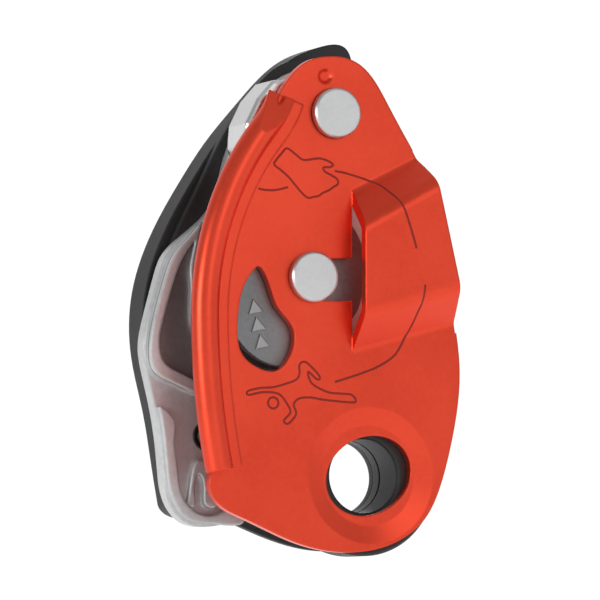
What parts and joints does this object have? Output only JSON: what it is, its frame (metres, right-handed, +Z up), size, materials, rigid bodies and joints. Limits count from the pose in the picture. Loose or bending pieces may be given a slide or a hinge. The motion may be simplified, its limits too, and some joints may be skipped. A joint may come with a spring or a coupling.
{
  "type": "belay device",
  "caption": "Assisted-braking belay device for a climbing rope: swinging side plate, pivoting cam, unfolding release handle.",
  "frame": {"origin": "centre of the attachment hole, on the rope's mid-plane between the side plates", "axes": "+X to the right seen from the moving side plate, +Y to the back where the handle is, +Z up along the body"},
  "size_m": [0.0777, 0.0375, 0.1268],
  "materials": {
    "orange_anodised": "satin",
    "satin_aluminium": "satin",
    "black_nylon": "matte",
    "dark_steel": "satin",
    "bright_steel": "brushed",
    "polished_steel": "polished",
    "cast_steel": "satin",
    "bronze": "satin",
    "spring_steel": "satin"
  },
  "bodies": {
    "frame": {"fixed_side_plate": "satin_aluminium", "rear_cover": "black_nylon", "cover_screws": "dark_steel", "attachment_boss": "black_nylon", "boss_rivets": "bright_steel", "lower_plate_rivet": "dark_steel", "rivet_seat_ring": "dark_steel", "cam_axle": "bright_steel", "axle_rear_ring": "bright_steel", "top_pivot_rivet": "bright_steel", "pivot_rear_ring": "bright_steel", "top_pivot_sleeve": "bright_steel", "pivot_washer": "bright_steel", "friction_plate": "polished_steel", "friction_plate_rivets": "bright_steel", "cam_return_spring": "spring_steel"},
    "swing_plate": {"moving_side_plate": "orange_anodised", "plate_pivot_bush": "bronze"},
    "cam": {"cam": "cast_steel", "cam_bush": "bronze", "cam_drive_sleeve": "bright_steel", "crank_arm": "cast_steel", "handle_pivot_pin": "bright_steel", "handle_return_spring": "spring_steel"},
    "handle": {"handle_lever": "black_nylon", "handle_core": "cast_steel", "handle_core_rivets": "bright_steel", "handle_pivot_bush": "bronze", "handle_hub_cap": "black_nylon"}
  },
  "joints": [
    {"name": "side_plate_swing", "type": "hinge", "parent": "frame", "child": "swing_plate", "pos_m": [-0.0096, 0, 0.0877], "axis": [0, 1, 0], "range_deg": [0, 100]},
    {"name": "cam_turn", "type": "hinge", "parent": "frame", "child": "cam", "pos_m": [-0.0157, 0, 0.0477], "axis": [0, 1, 0], "range_deg": [0, 28], "stiffness_Nm_per_rad": 0.25},
    {"name": "handle_unfold", "type": "hinge", "parent": "cam", "child": "handle", "pos_m": [-0.0097, 0.0165, 0.0417], "axis": [0, -1, 0], "range_deg": [0, 140], "stiffness_Nm_per_rad": 0.06}
  ]
}
